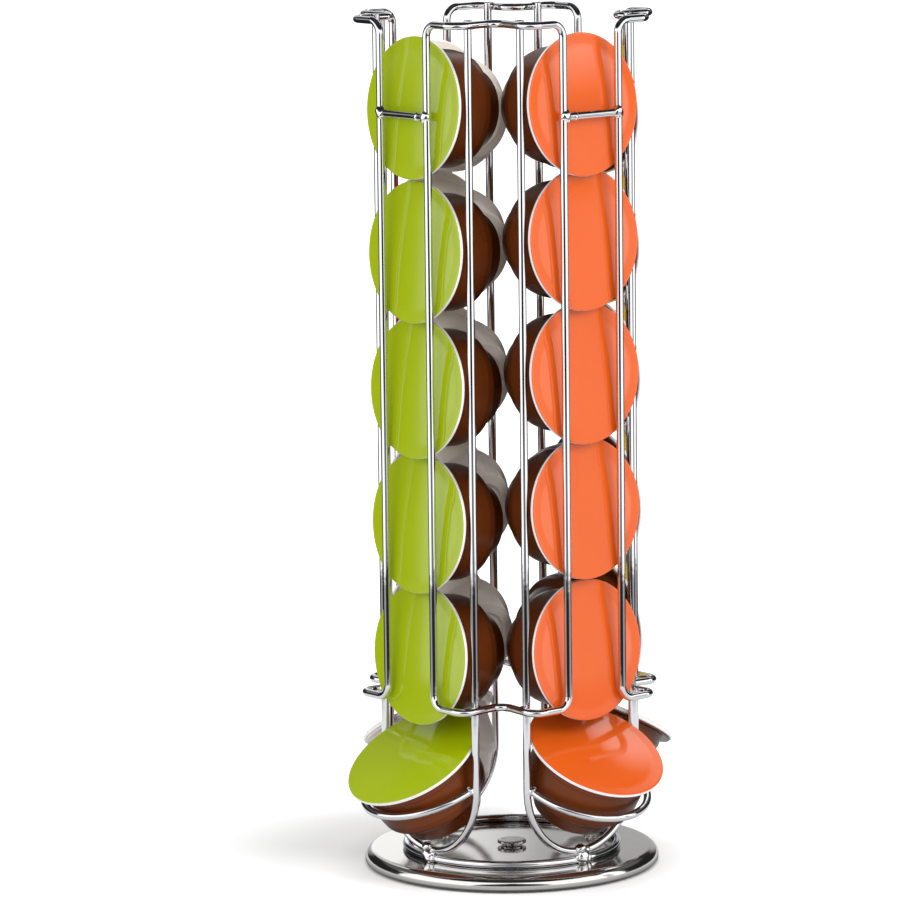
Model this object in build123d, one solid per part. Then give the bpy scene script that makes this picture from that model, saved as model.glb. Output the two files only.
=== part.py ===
from build123d import *
from math import acos, asin, atan2, cos, pi, radians, sin, sqrt, tan
import os

# Coffee capsule carousel: a chrome wire rack with four columns of six capsules on a turning disc.
# Millimetres, +Z up. The origin is the centre of the foot on the surface that it stands on.
# The columns stand on +X (right), +Y (back), -X (left) and -Y (front).

# Capsules
CUP_TOP_R = 23.1
CUP_BARREL = 17.4
CUP_DRAFT = 0.8
CUP_SHOULDER = 3.0
SHOULDER_IN = 3.4
CUP_TAPER = 7.8
TAPER_IN = 3.9
CUP_END_EDGE_R = 1.2
END_RIM = 4.0
END_DISH_DEPTH = 0.8
FLANGE_OUT = 3.9
CUP_FLANGE_THICK = 0.7
LID_THICK = 1.6
LID_PAST_CUP = 0.6
LID_EDGE_R = 0.45

# Wires of the rack
WIRE_D = 3.0
WIRE_R = WIRE_D / 2
LEG_PAST_BAR = 0.2
BAR_BEND_R = 5.0
HUMP_BEND_R = 5.0
DIP_BEND_R = 5.0
BEAD_R = 2.0
WELD_TOUCH = 0.02

# Upright capsules: the ends of neighbouring columns' cups nearly meet in the middle
MIDDLE_PLAY = 0.2
LID_LEAN = 4.7
GUARD_PLAY = 0.4
NEST_PLAY = 0.2
LOOSE_PLAY = 1.0
EDGE_PLAY = 0.7

# Lowest capsule, tipped outwards in its cradle, and the capsule that stands on it
TIP_LIFT = {"front": 57.0, "right": 59.5, "back": 61.5, "left": 60.0}
TIP_OUT = {"front": 9.4, "right": 9.6, "back": 10.2, "left": 9.6}
TIP_RISE = {"front": 11.35, "right": 14.45, "back": 14.15, "left": 12.35}
STACK_PLAY = 0.2

# Legs, bars and hoops
GUARD_HALF = 13.7
FLANGE_PLAY = 1.2
CUP_SIDE_PLAY = 2.3
HUMP_PAST_RIM = 4.0
TOP_ROOM = 4.25
LOW_BAR_RISE = 31.9
TIE_DROP = 34.7
RING_OUT = 0.3
HOOP_TILT = 22.6
HOOP_STRAIGHT = 0.2
HOOP_END_RISE = 0.3

# Turntable, bearing and foot
PLATE_R = 57.1
PLATE_TOP_Z = 6.0
PLATE_SHEET = 0.8
PLATE_RIM_R = 2.6
PLATE_HEM_Z = 0.9
PAD_THICK = 1.0
PAD_INSET = 1.0
PAD_HOLE_R = 5.5
HEM_PLAY = 6.3
FOOT_SHEET = 0.8
BALL_COUNT = 12
BALL_PLAY = 0.3
BALL_RING_R = 25.0
CAGE_SHEET = 0.8
CAGE_HALF = 4.0
POCKET_PLAY = 0.1
RIVET_SHANK_R = 2.5
RIVET_HEAD_R = 5.6
RIVET_HEAD_THICK = 1.2
RIVET_HEAD_EDGE_R = 0.5
RIVET_CLINCH_R = 4.0
SHANK_PLAY = 0.08
WASHER_R = 4.2
WASHER_THICK = 0.7
WASHER_PLAY = 0.3

OVERRUN = 1.0

# Sizes that follow from the ones above
FLANGE_R = CUP_TOP_R + FLANGE_OUT
FLANGE_THICK = LID_THICK + CUP_FLANGE_THICK
CUP_FLANGE_R = FLANGE_R - LID_PAST_CUP
CUP_SHOULDER_R = CUP_TOP_R - CUP_DRAFT
CUP_NECK_R = CUP_SHOULDER_R - SHOULDER_IN
CUP_END_R = CUP_NECK_R - TAPER_IN
END_DISH_R = CUP_END_R - END_RIM
CUP_DEPTH = FLANGE_THICK + CUP_BARREL + CUP_SHOULDER + CUP_TAPER
LID_REACH = CUP_DEPTH + CUP_END_R + MIDDLE_PLAY
GUARD_REACH = LID_REACH + FLANGE_R * sin(radians(LID_LEAN)) + GUARD_PLAY + WIRE_R
HAIRPIN_REACH = LID_REACH - FLANGE_THICK - FLANGE_PLAY - WIRE_R
HAIRPIN_HALF = CUP_TOP_R + CUP_SIDE_PLAY + WIRE_R
HUMP_HALF = FLANGE_R + HUMP_PAST_RIM
HOOP_HALF = HAIRPIN_HALF - WIRE_R
RING_R = HAIRPIN_REACH + RING_OUT
RING_Z = PLATE_TOP_Z + WIRE_R
BEND_Z = RING_Z + WIRE_D + HAIRPIN_HALF
FOOT_R = PLATE_R - PLATE_SHEET - HEM_PLAY
PAD_R = FOOT_R - PAD_INSET
FOOT_TOP_Z = PAD_THICK + FOOT_SHEET
PLATE_UNDER_Z = PLATE_TOP_Z - PLATE_SHEET
BALL_R = (PLATE_UNDER_Z - FOOT_TOP_Z) / 2 - BALL_PLAY
BALL_Z = (PLATE_UNDER_Z + FOOT_TOP_Z) / 2
WASHER_Z = PLATE_TOP_Z + WASHER_PLAY
HEAD_Z = WASHER_Z + WASHER_THICK

# Spacing of the upright capsules: nested on the rim below, loosely nested, or rim on rim
LEAN_RUN = FLANGE_THICK + FLANGE_R * sin(radians(LID_LEAN))
NEST = (CUP_TOP_R + FLANGE_R) / cos(radians(LID_LEAN)) + LEAN_RUN * tan(radians(LID_LEAN)) + NEST_PLAY
LOOSE = NEST + LOOSE_PLAY
EDGE = 2 * FLANGE_R * cos(radians(LID_LEAN)) + EDGE_PLAY

COLUMNS = {"right": 0, "back": 90, "left": 180, "front": 270}
SPACING = {
    "front": [NEST, LOOSE, LOOSE, EDGE],
    "right": [EDGE, LOOSE, NEST, NEST],
    "back": [NEST, NEST, NEST, NEST],
    "left": [NEST, NEST, NEST, NEST],
}
FACES = {"back_right": 45, "back_left": 135, "front_left": 225, "front_right": 315}



def tipped_z(column):
    """Lid centre of the lowest capsule, tipped outwards in its cradle."""
    return BEND_Z + TIP_RISE[column]


def stack_foot(column):
    """Lid centre of the lowest upright capsule: its cup just clears the inner rim of the tipped one."""
    lift = radians(TIP_LIFT[column])
    lean = radians(LID_LEAN)
    run = LID_REACH - (HAIRPIN_REACH + TIP_OUT[column] - FLANGE_R * sin(lift))
    share = (run / cos(lean) - FLANGE_THICK) / CUP_BARREL
    radius = CUP_TOP_R - CUP_DRAFT * share
    rim_z = tipped_z(column) + FLANGE_R * cos(lift)
    return rim_z + STACK_PLAY + radius / cos(lean) + run * tan(lean)


# Heights: the stacks stand on the lowest capsules, and the bars reach past the highest rim
LOW_LID_Z = {column: stack_foot(column) for column in COLUMNS}
TOP_RIM_Z = max(LOW_LID_Z[c] + sum(SPACING[c]) for c in COLUMNS) + FLANGE_R * cos(radians(LID_LEAN))
TOP_BAR_Z = TOP_RIM_Z + TOP_ROOM
LOW_BAR_Z = BEND_Z + LOW_BAR_RISE
TIE_Z = TOP_BAR_Z - TIE_DROP
LEG_TOP_Z = TOP_BAR_Z + WIRE_R + LEG_PAST_BAR


def turned(shape, angle):
    return Rot(0, 0, angle) * shape


def post(radius, low, high):
    return Pos(0, 0, low) * Cylinder(radius, high - low, align=(Align.CENTER, Align.CENTER, Align.MIN))


def ring_solid(out_r, in_r, low, high):
    return post(out_r, low, high) - post(in_r, low - OVERRUN, high + OVERRUN)


def wire_along(path):
    return sweep(Plane(origin=path @ 0, z_dir=path % 0) * Circle(WIRE_R), path=path)


# Foot, bearing and turntable

def foot_pad():
    return ring_solid(PAD_R, PAD_HOLE_R, 0, PAD_THICK)


def foot_plate():
    return ring_solid(FOOT_R, RIVET_SHANK_R, PAD_THICK, FOOT_TOP_Z)


def pivot_rivet():
    low = PAD_THICK - FOOT_SHEET
    shank = post(RIVET_SHANK_R, low, HEAD_Z)
    clinch = post(RIVET_CLINCH_R, low, PAD_THICK)
    head = post(RIVET_HEAD_R, HEAD_Z, HEAD_Z + RIVET_HEAD_THICK)
    head = fillet(head.edges().group_by(Axis.Z)[-1], RIVET_HEAD_EDGE_R)
    return shank + clinch + head


def pivot_washer():
    return ring_solid(WASHER_R, RIVET_SHANK_R, WASHER_Z, HEAD_Z)


def ball_places():
    return [turned(Pos(BALL_RING_R, 0, BALL_Z), 360 / BALL_COUNT * i) for i in range(BALL_COUNT)]


def ball_cage():
    half = CAGE_SHEET / 2
    cage = ring_solid(BALL_RING_R + CAGE_HALF, BALL_RING_R - CAGE_HALF, BALL_Z - half, BALL_Z + half)
    for place in ball_places():
        cage -= place * Cylinder(BALL_R + POCKET_PLAY, CAGE_SHEET + 2 * OVERRUN)
    return cage


def bearing_balls():
    return Compound(children=[place * Sphere(BALL_R) for place in ball_places()])


def turntable_plate():
    hole = RIVET_SHANK_R + SHANK_PLAY
    inner_rim = PLATE_R - PLATE_SHEET
    bend_in = PLATE_RIM_R - PLATE_SHEET
    flat_r = PLATE_R - PLATE_RIM_R
    mid = PLATE_RIM_R * (1 - cos(pi / 4))
    mid_in = PLATE_SHEET + bend_in * (1 - cos(pi / 4))
    with BuildSketch(Plane.XZ) as profile:
        with BuildLine():
            Line((hole, PLATE_TOP_Z), (flat_r, PLATE_TOP_Z))
            ThreePointArc((flat_r, PLATE_TOP_Z), (PLATE_R - mid, PLATE_TOP_Z - mid),
                          (PLATE_R, PLATE_TOP_Z - PLATE_RIM_R))
            Polyline((PLATE_R, PLATE_TOP_Z - PLATE_RIM_R), (PLATE_R, PLATE_HEM_Z), (inner_rim, PLATE_HEM_Z),
                     (inner_rim, PLATE_TOP_Z - PLATE_RIM_R))
            ThreePointArc((inner_rim, PLATE_TOP_Z - PLATE_RIM_R), (PLATE_R - mid_in, PLATE_TOP_Z - mid_in),
                          (flat_r, PLATE_UNDER_Z))
            Polyline((flat_r, PLATE_UNDER_Z), (hole, PLATE_UNDER_Z), (hole, PLATE_TOP_Z))
        make_face()
    return revolve(profile.sketch, Axis.Z)


# Wire rack

def base_ring():
    return Pos(0, 0, RING_Z) * Torus(RING_R, WIRE_R)


def hairpin():
    left_top = (HAIRPIN_REACH, -HAIRPIN_HALF, LEG_TOP_Z)
    left_low = (HAIRPIN_REACH, -HAIRPIN_HALF, BEND_Z)
    lowest = (HAIRPIN_REACH, 0, BEND_Z - HAIRPIN_HALF)
    right_low = (HAIRPIN_REACH, HAIRPIN_HALF, BEND_Z)
    right_top = (HAIRPIN_REACH, HAIRPIN_HALF, LEG_TOP_Z)
    with BuildLine() as path:
        Line(left_top, left_low)
        ThreePointArc(left_low, lowest, right_low)
        Line(right_low, right_top)
    return wire_along(path.wire())


def face_point(reach, half):
    """A column point, seen from the middle of the face beside it: out from the axis, and along the face."""
    return ((reach + half) * cos(pi / 4), (reach - half) * cos(pi / 4))


def dip_reach():
    """Where the two straight runs of a bar meet at mid face, so that each run touches a hairpin leg."""
    hump = face_point(GUARD_REACH, HUMP_HALF)
    leg = face_point(HAIRPIN_REACH, HAIRPIN_HALF)
    away = sqrt((leg[0] - hump[0]) ** 2 + (leg[1] - hump[1]) ** 2)
    heading = atan2(leg[1] - hump[1], leg[0] - hump[0]) + asin((WIRE_D - WELD_TOUCH) / away)
    return hump[0] + hump[1] * cos(heading) / -sin(heading)


def guard_loop():
    leg = face_point(GUARD_REACH, GUARD_HALF)
    hump = face_point(GUARD_REACH, HUMP_HALF)
    dip = (dip_reach(), 0)
    half = [leg, hump, dip, (hump[0], -hump[1]), (leg[0], -leg[1])]
    radii = [BAR_BEND_R, HUMP_BEND_R, DIP_BEND_R, HUMP_BEND_R, BAR_BEND_R]
    mid_z = (TOP_BAR_Z + LOW_BAR_Z) / 2
    start = (leg[0], leg[1], mid_z)
    top = [(x, y, TOP_BAR_Z) for x, y in half]
    low = [(x, y, LOW_BAR_Z) for x, y in reversed(half)]
    other = (leg[0], -leg[1], mid_z)
    upper = FilletPolyline(start, *top, other, radius=radii)
    lower = FilletPolyline(other, *low, start, radius=radii)
    return wire_along(upper) + wire_along(lower)


def hoop_path():
    slope = radians(HOOP_TILT)
    start = HAIRPIN_REACH + WIRE_R - WELD_TOUCH
    end_z = BEND_Z + HOOP_END_RISE

    def at(run, side):
        return (start + run * cos(slope), side, end_z - run * sin(slope))

    with BuildLine() as path:
        Line(at(0, -HOOP_HALF), at(HOOP_STRAIGHT, -HOOP_HALF))
        ThreePointArc(at(HOOP_STRAIGHT, -HOOP_HALF), at(HOOP_STRAIGHT + HOOP_HALF, 0),
                      at(HOOP_STRAIGHT, HOOP_HALF))
        Line(at(HOOP_STRAIGHT, HOOP_HALF), at(0, HOOP_HALF))
    return path.wire()


def cradle_hoop():
    return wire_along(hoop_path())


def tie_bar():
    length = 2 * (GUARD_HALF - WIRE_R + WELD_TOUCH)
    return Pos(GUARD_REACH, 0, TIE_Z) * Rot(90, 0, 0) * Cylinder(WIRE_R, length)


def column_beads():
    """Weld beads of one column: tie bar ends, hoop ends, and the hairpin's foot on the ring."""
    hoop = hoop_path()
    tie_half = GUARD_HALF - WIRE_R
    places = [(GUARD_REACH, -tie_half, TIE_Z), (GUARD_REACH, tie_half, TIE_Z)]
    places += [tuple(hoop @ 0), tuple(hoop @ 1)]
    places += [((HAIRPIN_REACH + RING_R) / 2, 0, RING_Z + WIRE_R)]
    return places


def face_beads():
    """Weld beads of one face: each bar is welded to the two hairpin legs behind it."""
    hump = face_point(GUARD_REACH, HUMP_HALF)
    leg = face_point(HAIRPIN_REACH, HAIRPIN_HALF)
    heading = atan2(-hump[1], dip_reach() - hump[0])
    run = (leg[0] - hump[0]) * cos(heading) + (leg[1] - hump[1]) * sin(heading)
    near = (hump[0] + run * cos(heading), hump[1] + run * sin(heading))
    touch = ((near[0] + leg[0]) / 2, (near[1] + leg[1]) / 2)
    return [(touch[0], side * touch[1], z) for z in (LOW_BAR_Z, TOP_BAR_Z) for side in (-1, 1)]


def weld_beads():
    beads = [turned(Pos(*p) * Sphere(BEAD_R), a) for a in COLUMNS.values() for p in column_beads()]
    beads += [turned(Pos(*p) * Sphere(BEAD_R), a) for a in FACES.values() for p in face_beads()]
    return Compound(children=beads)


# Capsules: the lid's outer face is at zero and looks along +Z

def lid():
    disc = Pos(0, 0, -LID_THICK / 2) * Cylinder(FLANGE_R, LID_THICK)
    return fillet(disc.edges(), LID_EDGE_R)


def cup():
    flange_low = -FLANGE_THICK
    barrel_low = flange_low - CUP_BARREL
    neck = barrel_low - CUP_SHOULDER
    end = neck - CUP_TAPER
    turn = acos(CUP_SHOULDER / sqrt(CUP_SHOULDER ** 2 + (CUP_SHOULDER_R - CUP_NECK_R) ** 2))
    bulge = ((CUP_SHOULDER_R - CUP_NECK_R) * cos(turn) / 2, CUP_SHOULDER * (1 - sin(turn)) / 2)
    with BuildSketch(Plane.XZ) as profile:
        with BuildLine():
            Polyline((0, -LID_THICK), (CUP_FLANGE_R, -LID_THICK), (CUP_FLANGE_R, flange_low),
                     (CUP_TOP_R, flange_low), (CUP_SHOULDER_R, barrel_low))
            ThreePointArc((CUP_SHOULDER_R, barrel_low),
                          (CUP_SHOULDER_R - bulge[0], barrel_low - CUP_SHOULDER + bulge[1]),
                          (CUP_NECK_R, neck))
            Polyline((CUP_NECK_R, neck), (CUP_END_R, end), (END_DISH_R, end),
                     (END_DISH_R - END_DISH_DEPTH, end + END_DISH_DEPTH), (0, end + END_DISH_DEPTH),
                     (0, -LID_THICK))
        make_face()
    body = revolve(profile.sketch, Axis.Z)
    rim = body.edges().filter_by_position(Axis.Z, end, end).filter_by(lambda e: e.radius > END_DISH_R)
    return fillet(rim, CUP_END_EDGE_R)


def outward(reach, z, lift, angle):
    """The place of a capsule whose lid faces out of its column, raised by lift degrees."""
    return Rot(0, 0, angle) * Pos(reach, 0, z) * Rot(0, 90 - lift, 0)


def lid_heights(column):
    """Lid centres of the five upright capsules, top one first."""
    z = LOW_LID_Z[column]
    heights = [z]
    for step in SPACING[column]:
        z += step
        heights.append(z)
    return heights[::-1]


def places(column):
    angle = COLUMNS[column]
    upright = [outward(LID_REACH, z, LID_LEAN, angle) for z in lid_heights(column)]
    tipped = outward(HAIRPIN_REACH + TIP_OUT[column], tipped_z(column), TIP_LIFT[column], angle)
    return upright + [tipped]


os.makedirs("parts", exist_ok=True)


def write(shape, name):
    export_step(shape, "parts/" + name + ".step")


write(foot_pad(), "foot_pad")
write(foot_plate(), "foot_plate")
write(pivot_rivet(), "pivot_rivet")
write(pivot_washer(), "pivot_washer")
write(ball_cage(), "ball_cage")
write(bearing_balls(), "bearing_balls")
write(turntable_plate(), "turntable_plate")
write(base_ring(), "base_ring")
write(weld_beads(), "weld_beads")
for face, face_angle in FACES.items():
    write(turned(guard_loop(), face_angle), "guard_loop_" + face)
for column, column_angle in COLUMNS.items():
    write(turned(hairpin(), column_angle), "hairpin_" + column)
    write(turned(cradle_hoop(), column_angle), "cradle_hoop_" + column)
    write(turned(tie_bar(), column_angle), "tie_bar_" + column)
    spots = places(column)
    for number, spot in enumerate(spots, 1):
        write(spot * cup(), "cup_%s_%d" % (column, number))
    write(Compound(children=[spot * lid() for spot in spots[:-1]]), "stack_lids_" + column)
    write(spots[-1] * lid(), "low_lid_" + column)
    print(column, [round(z, 2) for z in lid_heights(column)], round(tipped_z(column), 2))
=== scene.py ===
# %% [markdown]
# # A chrome carousel for coffee capsules
#
# The real object is a rack of bright wire that turns on a round mirror disc. It holds four columns of six
# coffee capsules, and in each column the lowest capsule has tipped outwards into a small hoop, ready to be
# taken. The CAD model comes first, because it says where everything is. Each piece that shows is then made
# again as a numpy surface in the same place, with a finish of its own. The few that hide under the disc
# keep their CAD shape.

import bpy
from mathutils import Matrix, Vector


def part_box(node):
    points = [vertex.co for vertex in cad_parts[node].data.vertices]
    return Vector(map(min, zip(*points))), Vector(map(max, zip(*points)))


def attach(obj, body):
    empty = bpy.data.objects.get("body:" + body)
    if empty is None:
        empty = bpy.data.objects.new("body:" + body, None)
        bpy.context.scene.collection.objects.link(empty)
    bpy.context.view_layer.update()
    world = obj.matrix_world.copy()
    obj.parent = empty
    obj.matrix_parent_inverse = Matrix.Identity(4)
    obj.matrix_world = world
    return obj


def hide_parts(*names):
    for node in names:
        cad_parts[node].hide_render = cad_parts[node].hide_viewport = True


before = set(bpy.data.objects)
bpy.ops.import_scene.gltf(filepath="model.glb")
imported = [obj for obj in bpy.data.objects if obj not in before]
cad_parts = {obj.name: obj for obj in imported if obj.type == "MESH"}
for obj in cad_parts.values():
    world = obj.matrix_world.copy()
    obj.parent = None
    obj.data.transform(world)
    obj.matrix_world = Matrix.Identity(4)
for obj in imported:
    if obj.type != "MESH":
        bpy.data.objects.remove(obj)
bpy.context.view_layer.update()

import bpy
import numpy as np
from mathutils import Matrix, Vector

scene = bpy.context.scene
MM = 0.001  # Blender works in metres, the drawings of the rack in millimetres

# %% [markdown]
# ## The camera
#
# A long lens stands about two metres away and a little above the rack, so the columns hardly converge. It
# looks at the corner between the green and the orange column. The camera could be turned by angles, but an
# eye point, a point to look at and a small roll are easier to read. The roll is part of the photograph,
# which leans a little.

# %% Camera
CAMERA_EYE = np.array([1540.75, -1321.60, 474.44])
CAMERA_AIM = np.array([-14.31, -17.05, 161.82])
CAMERA_ROLL = np.radians(-0.681)
LENS, SENSOR = 213.24, 36.0  # both in millimetres, as they are given for real cameras
SEES_TO = 50  # metres, far past the edge of the floor


def unit(vectors):
    """Each vector divided by its own length."""
    return vectors / np.linalg.norm(vectors, axis=-1, keepdims=True)


ahead = unit(CAMERA_AIM - CAMERA_EYE)
level = unit(np.cross(ahead, [0, 0, 1]))
rising = np.cross(level, ahead)
right = np.cos(CAMERA_ROLL) * level + np.sin(CAMERA_ROLL) * rising
upright = np.cross(right, ahead)

lens = bpy.data.cameras.new("camera")
lens.lens, lens.sensor_width, lens.sensor_fit = LENS, SENSOR, "HORIZONTAL"
lens.clip_end = SEES_TO
camera = bpy.data.objects.new("camera", lens)
camera.matrix_world = Matrix.Translation(Vector(CAMERA_EYE * MM)) @ Matrix(
    np.column_stack([right, upright, -ahead]).tolist()).to_4x4()
scene.collection.objects.link(camera)
scene.camera = camera
print("camera distance, mm:", round(float(np.linalg.norm(CAMERA_AIM - CAMERA_EYE))))

# %% [markdown]
# ## The sizes of the rack
#
# These are the lengths that the CAD model was drawn with. The capsule comes first, because the wires are
# spaced for it: a reach is out from the turning axis, and a half is to one side of a column's middle. The
# columns stand on the four axes and the guard loops on the four faces between them, so one column and one
# face are enough: the others are the same, turned by quarter turns.

# %% The capsule, in millimetres
FLANGE_R, CUP_FLANGE_R, CUP_R, CUP_END_R = 27.0, 26.4, 23.1, 15.0
LID_THICK, FLANGE_THICK, CUP_DEPTH = 1.6, 2.3, 30.5
LID_LEAN = 4.7  # degrees that the axis of an upright capsule rises by
print("a capsule is", 2 * FLANGE_R, "mm across and", CUP_DEPTH, "mm deep")

# %% The rack round the capsules
WIRE_D = 3.0
WIRE_R = WIRE_D / 2
COLUMNS = {"right": 0, "back": 90, "left": 180, "front": 270}
FACES = {"back_right": 45, "back_left": 135, "front_left": 225, "front_right": 315}

MIDDLE_PLAY, RIM_PLAY, FLANGE_PLAY, SIDE_PLAY, HUMP_PAST_RIM, RING_OUT = 0.2, 0.4, 1.2, 2.3, 4.0, 0.3
LID_REACH = CUP_DEPTH + CUP_END_R + MIDDLE_PLAY  # the ends of neighbouring cups nearly meet
HAIRPIN_REACH = LID_REACH - FLANGE_THICK - FLANGE_PLAY - WIRE_R
HAIRPIN_HALF = CUP_R + SIDE_PLAY + WIRE_R
GUARD_REACH = LID_REACH + FLANGE_R * np.sin(np.radians(LID_LEAN)) + RIM_PLAY + WIRE_R
GUARD_HALF, HUMP_HALF, BAR_BEND_R = 13.7, FLANGE_R + HUMP_PAST_RIM, 5.0
WELD_BITE = 0.02  # how far two welded wires sink into each other

PLATE_TOP = 6.0
RING_R, RING_Z = HAIRPIN_REACH + RING_OUT, PLATE_TOP + WIRE_R
BEND_Z = RING_Z + WIRE_D + HAIRPIN_HALF
HOOP_HALF, HOOP_STRAIGHT, HOOP_Z, HOOP_TILT = HAIRPIN_HALF - WIRE_R, 0.2, BEND_Z + 0.3, np.radians(22.6)
TOP_BAR_Z, LOW_BAR_Z = 328.9, BEND_Z + 31.9
TIE_Z, LEG_TOP_Z = TOP_BAR_Z - 34.7, TOP_BAR_Z + WIRE_R + 0.2
print("the wires stand", round(HAIRPIN_REACH, 1), "and", round(GUARD_REACH, 1), "mm out")

# %% Where the capsules sit: upright ones nested in the rim below, loosely nested, or rim on rim
NESTED, LOOSE, ON_EDGE = 50.84, 51.84, 54.52
LOWEST_Z = {"right": 89.71, "back": 88.58, "left": 87.41, "front": 87.59}
SPACING = {
    "right": [ON_EDGE, LOOSE, NESTED, NESTED], "back": [NESTED] * 4,
    "left": [NESTED] * 4, "front": [NESTED, LOOSE, LOOSE, ON_EDGE]}
LID_Z = {column: (LOWEST_Z[column] + np.cumsum([0, *SPACING[column]]))[::-1] for column in COLUMNS}

LOW_OUT = {"right": 9.6, "back": 10.2, "left": 9.6, "front": 9.4}
LOW_RISE = {"right": 14.45, "back": 14.15, "left": 12.35, "front": 11.35}
LOW_LIFT = {"right": 59.5, "back": 61.5, "left": 60.0, "front": 57.0}
LOW_REACH = {column: HAIRPIN_REACH + LOW_OUT[column] for column in COLUMNS}
LOW_Z = {column: BEND_Z + LOW_RISE[column] for column in COLUMNS}
print("highest lid of each column, mm:", {column: round(float(LID_Z[column][0]), 2) for column in COLUMNS})


# %% Points of a column, seen from a face
def face_point(reach, half):
    """A point of a column, given out from the axis and to its side, seen from the middle of a face."""
    return np.array([reach + half, reach - half]) * np.sqrt(0.5)


guard_leg, hump = face_point(GUARD_REACH, GUARD_HALF), face_point(GUARD_REACH, HUMP_HALF)
hairpin_leg = face_point(HAIRPIN_REACH, HAIRPIN_HALF)

# Half a bar runs from its hump to mid face so that it touches a hairpin's leg. It is turned off the line to
# the leg's middle by the angle whose sine is wire thickness over distance.
to_leg = hairpin_leg - hump
heading = np.arctan2(to_leg[1], to_leg[0]) + np.arcsin((WIRE_D - WELD_BITE) / np.linalg.norm(to_leg))
DIP_REACH = hump[0] - hump[1] / np.tan(heading)
print("a bar comes in to", round(DIP_REACH, 3), "mm at mid face")

# %% [markdown]
# ## Surfaces from rings of points
#
# Wires, weld beads, cups, lids and the disc have one thing in common: each is a row of rings. A wire's
# rings follow its route, and a turned piece's rings follow its profile. So one function joins rings into a
# skin, and the shapes only have to say where the points are. The order of the points makes all faces look
# outwards.


# %% Rings to a skin
def strips(count, around, joined=False):
    """The corner numbers of the faces between count rings with around points each."""
    here = np.arange(count if joined else count - 1)[:, None] * around
    above = (here + around) % (count * around)
    side, beside = np.arange(around)[None], (np.arange(around)[None] + 1) % around
    quads = np.stack([here + side, here + beside, above + beside, above + side], -1)
    return quads.reshape(-1, 4).tolist()


def skin(rings, joined=False):
    """Faces through rings of points, rings[i, j] being point j of ring i. Every ring closes on itself. The
    last ring is joined to the first, or else the first and last are closed by fans to their middle
    points."""
    count, around = rings.shape[:2]
    points, quads = rings.reshape(-1, 3), strips(count, around, joined)
    if joined:
        return points, quads
    first, last, top = len(points), len(points) + 1, (count - 1) * around
    side, beside = np.arange(around), (np.arange(around) + 1) % around
    low_fan = np.stack([beside, side, np.full(around, first)], -1)
    high_fan = np.stack([side + top, beside + top, np.full(around, last)], -1)
    points = np.concatenate([points, rings[[0, -1]].mean(axis=1)])
    return points, quads + low_fan.tolist() + high_fan.tolist()


print("a skin of 3 rings with 8 points each has", len(skin(np.zeros((3, 8, 3)))[1]), "faces")


# %% Several skins as one, and a skin turned
def together(skins):
    """Several skins as one: the corner numbers of each start after the points of those before it."""
    starts = np.cumsum([0] + [len(points) for points, _ in skins])
    faces = [[corner + int(start) for corner in face]
             for (_, some), start in zip(skins, starts) for face in some]
    return np.concatenate([points for points, _ in skins]), faces


def quarter_turned(points, degrees):
    """Points turned about the rack's axis: x' = x cos a - y sin a, y' = x sin a + y cos a."""
    a = np.radians(degrees)
    return points @ np.array([[np.cos(a), np.sin(a), 0], [-np.sin(a), np.cos(a), 0], [0, 0, 1]])


print("east, turned by 90 degrees:", np.round(quarter_turned(np.array([1.0, 0, 0]), 90), 3))


# %% A skin to a piece that rides on the rack
def mesh_object(name, points, faces, finishes):
    """One mesh object at the origin. The place is in its points, in millimetres."""
    mesh = bpy.data.meshes.new(name)
    mesh.from_pydata((points * MM).tolist(), [], faces)
    for finish in finishes:
        mesh.materials.append(finish)
    made = bpy.data.objects.new(name, mesh)
    scene.collection.objects.link(made)
    return made


def piece(name, body, finishes, shape, stands_for, pick=None):
    """A smooth piece. pick gives, for every face, the number of the finish that it has, where there are
    several."""
    points, faces = shape
    made = mesh_object(name, points, faces, finishes)
    made.data.shade_smooth()
    if pick is not None:
        made.data.polygons.foreach_set("material_index", pick)
    made.data.update()
    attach(made, body)
    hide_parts(stands_for)
    cad_corners = np.array([tuple(corner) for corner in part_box(stands_for)]) / MM
    off = np.abs(np.stack([points.min(0), points.max(0)]) - cad_corners).max()
    print("%-26s %6d faces, its box is within %.2f mm of the CAD node's" % (name, len(faces), off))
    return made


# %% [markdown]
# ## Colours and nodes
#
# Colours are picked off a screen as sRGB hex values, but the renderer counts light, so one function turns
# them to linear values. Node trees get long when every node takes five lines, so one small function adds a
# node, sets it and links it.


# %% Colour and node helpers
def linear(hex_colour):
    """An sRGB hex colour as linear red, green, blue and alpha: c / 12.92 below 0.04045, else the power
    curve."""
    c = np.array([int(hex_colour[i:i + 2], 16) for i in (1, 3, 5)]) / 255
    return (*np.where(c < 0.04045, c / 12.92, ((c + 0.055) / 1.055) ** 2.4).tolist(), 1.0)


def add(tree, kind, inputs=None, **settings):
    """One more node in a tree: its settings by name, and its inputs by name or number, as a value or a
    link."""
    node = tree.nodes.new(kind)
    for name, value in settings.items():
        setattr(node, name, value)
    for name, value in (inputs or {}).items():
        if isinstance(value, bpy.types.NodeSocket):
            tree.links.new(value, node.inputs[name])
        else:
            node.inputs[name].default_value = value
    return node


def finish(name):
    """An empty material with its node tree and its output."""
    material = bpy.data.materials.new(name)
    material.use_nodes = True
    material.node_tree.nodes.clear()
    tree = material.node_tree
    return material, tree, add(tree, "ShaderNodeOutputMaterial")


def per_metre(size_mm):
    """The texture scale at which one cell of a pattern is size_mm across."""
    return 1 / (size_mm * MM)


print("middle grey in linear light:", np.round(linear("#808080"), 3))

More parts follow.
